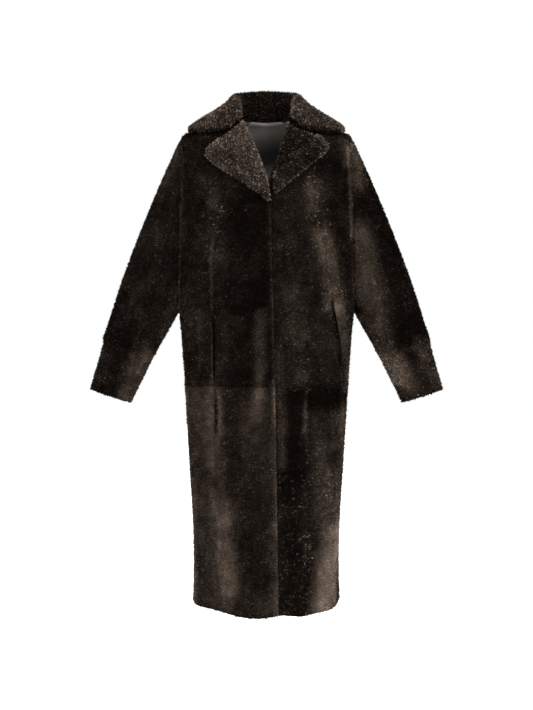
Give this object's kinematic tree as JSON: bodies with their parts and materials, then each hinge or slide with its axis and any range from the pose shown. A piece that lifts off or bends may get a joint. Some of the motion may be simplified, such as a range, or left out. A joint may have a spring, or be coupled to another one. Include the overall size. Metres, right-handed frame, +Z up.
{
  "type": "shearling coat",
  "caption": "Long shearling coat with a wide notched collar, hidden front closing, slanted in-seam pockets and long sleeves, hollow as it is worn.",
  "frame": {"origin": "where the coat hangs on its wearer: midway between the shoulders in the middle of the neck opening, 14 mm below the neck's side points", "axes": "+Z up, +Y towards the back, +X towards the wearer's left, which is the viewer's right from the front"},
  "size_m": [0.82, 0.2865, 1.2168],
  "materials": {
    "shearling": "short curled pile, matt with a soft sheen",
    "lining": "satin"
  },
  "bodies": {
    "root": {"front_right_centre_upper": "shearling", "front_right_side_upper": "shearling", "front_right_centre_skirt": "shearling", "front_right_side_skirt": "shearling", "front_left_centre_upper": "shearling", "front_left_side_upper": "shearling", "front_left_centre_skirt": "shearling", "front_left_side_skirt": "shearling", "front_left_hem": "shearling", "back_upper": "shearling", "back_skirt": "shearling", "collar": "shearling", "lapel_right": "shearling", "lapel_left": "shearling", "sleeve_right_upper": "shearling", "sleeve_right_cuff": "shearling", "sleeve_left_upper": "shearling", "sleeve_left_cuff": "shearling", "pocket_right": "shearling", "pocket_left": "shearling", "lining_back": "lining"}
  },
  "joints": []
}
